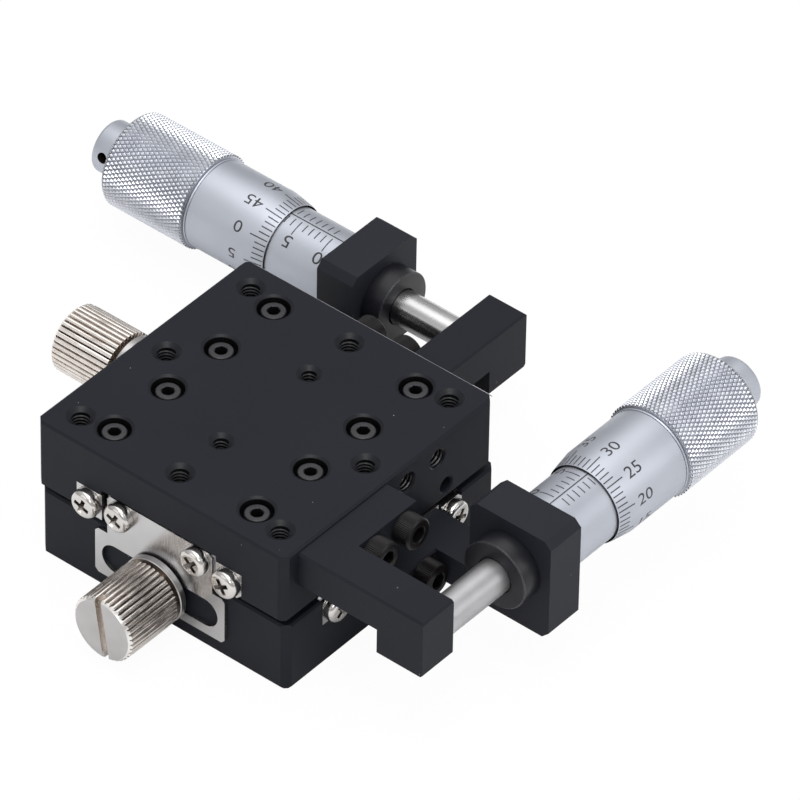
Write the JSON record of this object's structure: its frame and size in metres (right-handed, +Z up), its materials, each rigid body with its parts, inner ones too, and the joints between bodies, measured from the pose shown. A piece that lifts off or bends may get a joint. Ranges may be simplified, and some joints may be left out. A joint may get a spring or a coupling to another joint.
{
  "type": "two axis micrometer stage",
  "caption": "Low two-axis microscope stage on crossed roller rails, moved by two micrometer heads and held by knurled lock screws.",
  "frame": {"origin": "centre of the underside of the lower block", "axes": "+Z up out of the table, +X along the lower travel towards the side the table arm is on, +Y along the upper travel towards the thimble of the Y micrometer"},
  "size_m": [0.1005, 0.0786, 0.022],
  "materials": {
    "black_anodised": "satin black anodised",
    "ground_steel": "ground",
    "steel_screws": "satin",
    "black_screws": "black oxide, knurled heads",
    "nickel": "bright nickel plated",
    "plate_steel": "fine ground stainless",
    "satin_chrome": "satin chrome",
    "spindle_steel": "fine ground, hardened",
    "cage_brass": "stamped",
    "roller_steel": "polished"
  },
  "bodies": {
    "base": {"base_block": "black_anodised", "base_rails": "ground_steel", "base_rail_screws": "steel_screws", "base_stoppers": "plate_steel", "base_stopper_screws": "nickel", "base_set_screws": "steel_screws", "x_holder": "black_anodised", "x_holder_screws": "black_screws", "x_sleeve": "satin_chrome", "x_collar_nut": "black_anodised"},
    "middle": {"middle_block": "ground_steel", "x_inner_rails": "ground_steel", "y_inner_rails": "ground_steel", "inner_rail_screws": "steel_screws", "x_lock_plate": "plate_steel", "x_plate_screws": "nickel", "y_lock_plate": "plate_steel", "y_plate_screws": "nickel", "x_arm": "black_anodised", "x_arm_screws": "black_screws", "y_holder": "black_anodised", "y_holder_screws": "black_screws", "y_sleeve": "satin_chrome", "y_collar_nut": "black_anodised"},
    "table": {"table_block": "black_anodised", "table_rails": "ground_steel", "table_rail_screws": "steel_screws", "table_stoppers": "plate_steel", "table_stopper_screws": "nickel", "table_set_screws": "steel_screws", "y_arm": "black_anodised", "y_arm_screws": "black_screws"},
    "lower_cages": {"x_cages": "cage_brass", "x_rollers": "roller_steel"},
    "upper_cages": {"y_cages": "cage_brass", "y_rollers": "roller_steel"},
    "x_spindle_slide": {"x_spindle": "spindle_steel"},
    "x_thimble_turn": {"x_thimble": "satin_chrome", "x_end_cap": "satin_chrome"},
    "y_spindle_slide": {"y_spindle": "spindle_steel"},
    "y_thimble_turn": {"y_thimble": "satin_chrome", "y_end_cap": "satin_chrome"},
    "x_lock": {"x_lock_knob": "nickel"},
    "y_lock": {"y_lock_knob": "nickel"}
  },
  "joints": [
    {"name": "x_travel", "type": "slide", "parent": "base", "child": "middle", "axis": [1, 0, 0], "range_m": [-0.00656, 0.00644]},
    {"name": "x_thimble_spin", "type": "hinge", "parent": "x_spindle_slide", "child": "x_thimble_turn", "pos_m": [-0.03, 0.03613, 0.00944], "axis": [1, 0, 0], "range_deg": [-4726, 4640]},
    {"name": "x_feed", "type": "slide", "parent": "base", "child": "x_spindle_slide", "axis": [1, 0, 0], "range_m": [-0.00656, 0.00644]},
    {"name": "x_cage_roll", "type": "slide", "parent": "base", "child": "lower_cages", "axis": [1, 0, 0], "range_m": [-0.00328, 0.00322]},
    {"name": "y_travel", "type": "slide", "parent": "middle", "child": "table", "axis": [0, 1, 0], "range_m": [-0.00579, 0.00721]},
    {"name": "y_thimble_spin", "type": "hinge", "parent": "y_spindle_slide", "child": "y_thimble_turn", "pos_m": [0.03624, 0.03, 0.01524], "axis": [0, 1, 0], "range_deg": [-4172, 5195]},
    {"name": "y_feed", "type": "slide", "parent": "middle", "child": "y_spindle_slide", "axis": [0, 1, 0], "range_m": [-0.00579, 0.00721]},
    {"name": "y_cage_roll", "type": "slide", "parent": "middle", "child": "upper_cages", "axis": [0, 1, 0], "range_m": [-0.0029, 0.00361]},
    {"name": "x_lock_turn", "type": "hinge", "parent": "base", "child": "x_lock", "pos_m": [0, -0.025, 0.0061], "axis": [0, -1, 0], "range_deg": [-90, 180]},
    {"name": "y_lock_turn", "type": "hinge", "parent": "table", "child": "y_lock", "pos_m": [-0.025, -0.00071, 0.0159], "axis": [-1, 0, 0], "range_deg": [-90, 180]}
  ],
  "couplings": [
    {"joint": "x_thimble_spin", "follows": "x_travel", "rad_per_m": 12566},
    {"joint": "x_feed", "follows": "x_travel", "ratio": 1},
    {"joint": "x_cage_roll", "follows": "x_travel", "ratio": 0.5},
    {"joint": "y_thimble_spin", "follows": "y_travel", "rad_per_m": 12566},
    {"joint": "y_feed", "follows": "y_travel", "ratio": 1},
    {"joint": "y_cage_roll", "follows": "y_travel", "ratio": 0.5}
  ]
}
